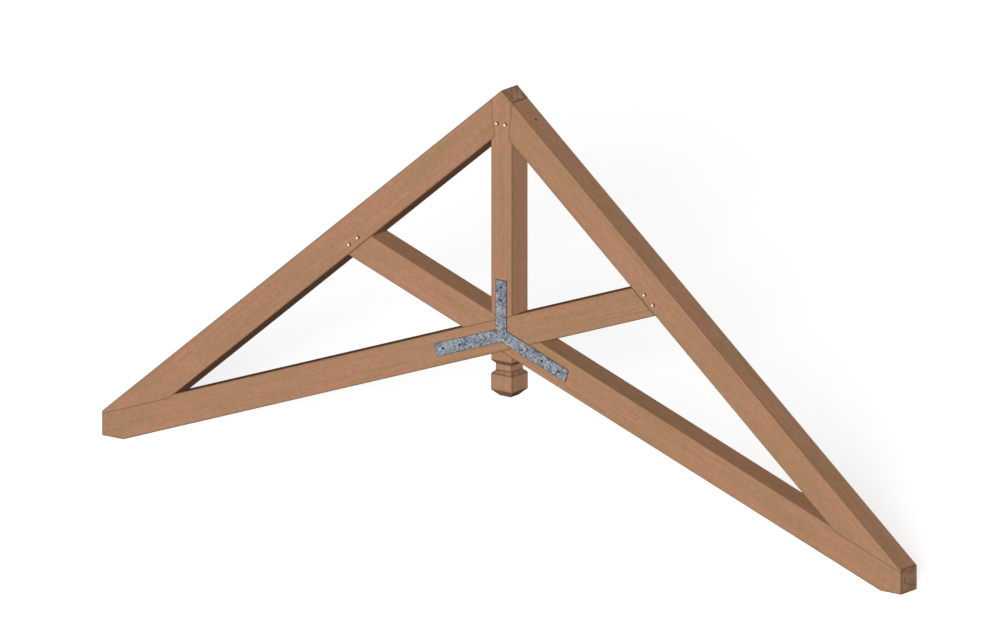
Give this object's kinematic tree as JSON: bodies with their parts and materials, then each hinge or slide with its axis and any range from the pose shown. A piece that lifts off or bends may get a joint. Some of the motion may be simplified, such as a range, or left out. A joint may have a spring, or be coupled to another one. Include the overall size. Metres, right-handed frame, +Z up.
{
  "type": "scissor truss",
  "caption": "Heavy-timber scissor roof truss with sloped lower chords crossing at a king post with a carved pendant, pegged joints and a bolted steel Y plate on each face.",
  "frame": {"origin": "midway between the two level bearing seats, at their height", "axes": "+Z up, +X along the span towards the right heel, +Y through the timbers towards the back face"},
  "size_m": [7.7216, 0.2458, 3.4142],
  "materials": {
    "timber": "planed sawn softwood, warm red-brown",
    "peg_wood": "turned pale hardwood",
    "strap_steel": "hot-dip galvanised, spangled",
    "bolt_steel": "dark plain steel"
  },
  "bodies": {
    "root": {"left_rafter": "timber", "right_rafter": "timber", "rising_chord": "timber", "falling_chord": "timber", "king_post": "timber", "front_strap_plate": "strap_steel", "back_strap_plate": "strap_steel", "strap_bolt_1": "bolt_steel", "strap_bolt_2": "bolt_steel", "strap_bolt_3": "bolt_steel", "strap_bolt_4": "bolt_steel", "strap_bolt_5": "bolt_steel", "strap_bolt_6": "bolt_steel", "strap_nut_1": "bolt_steel", "strap_nut_2": "bolt_steel", "strap_nut_3": "bolt_steel", "strap_nut_4": "bolt_steel", "strap_nut_5": "bolt_steel", "strap_nut_6": "bolt_steel", "peg_1": "peg_wood", "peg_2": "peg_wood", "peg_3": "peg_wood", "peg_4": "peg_wood", "peg_5": "peg_wood", "peg_6": "peg_wood"}
  },
  "joints": []
}
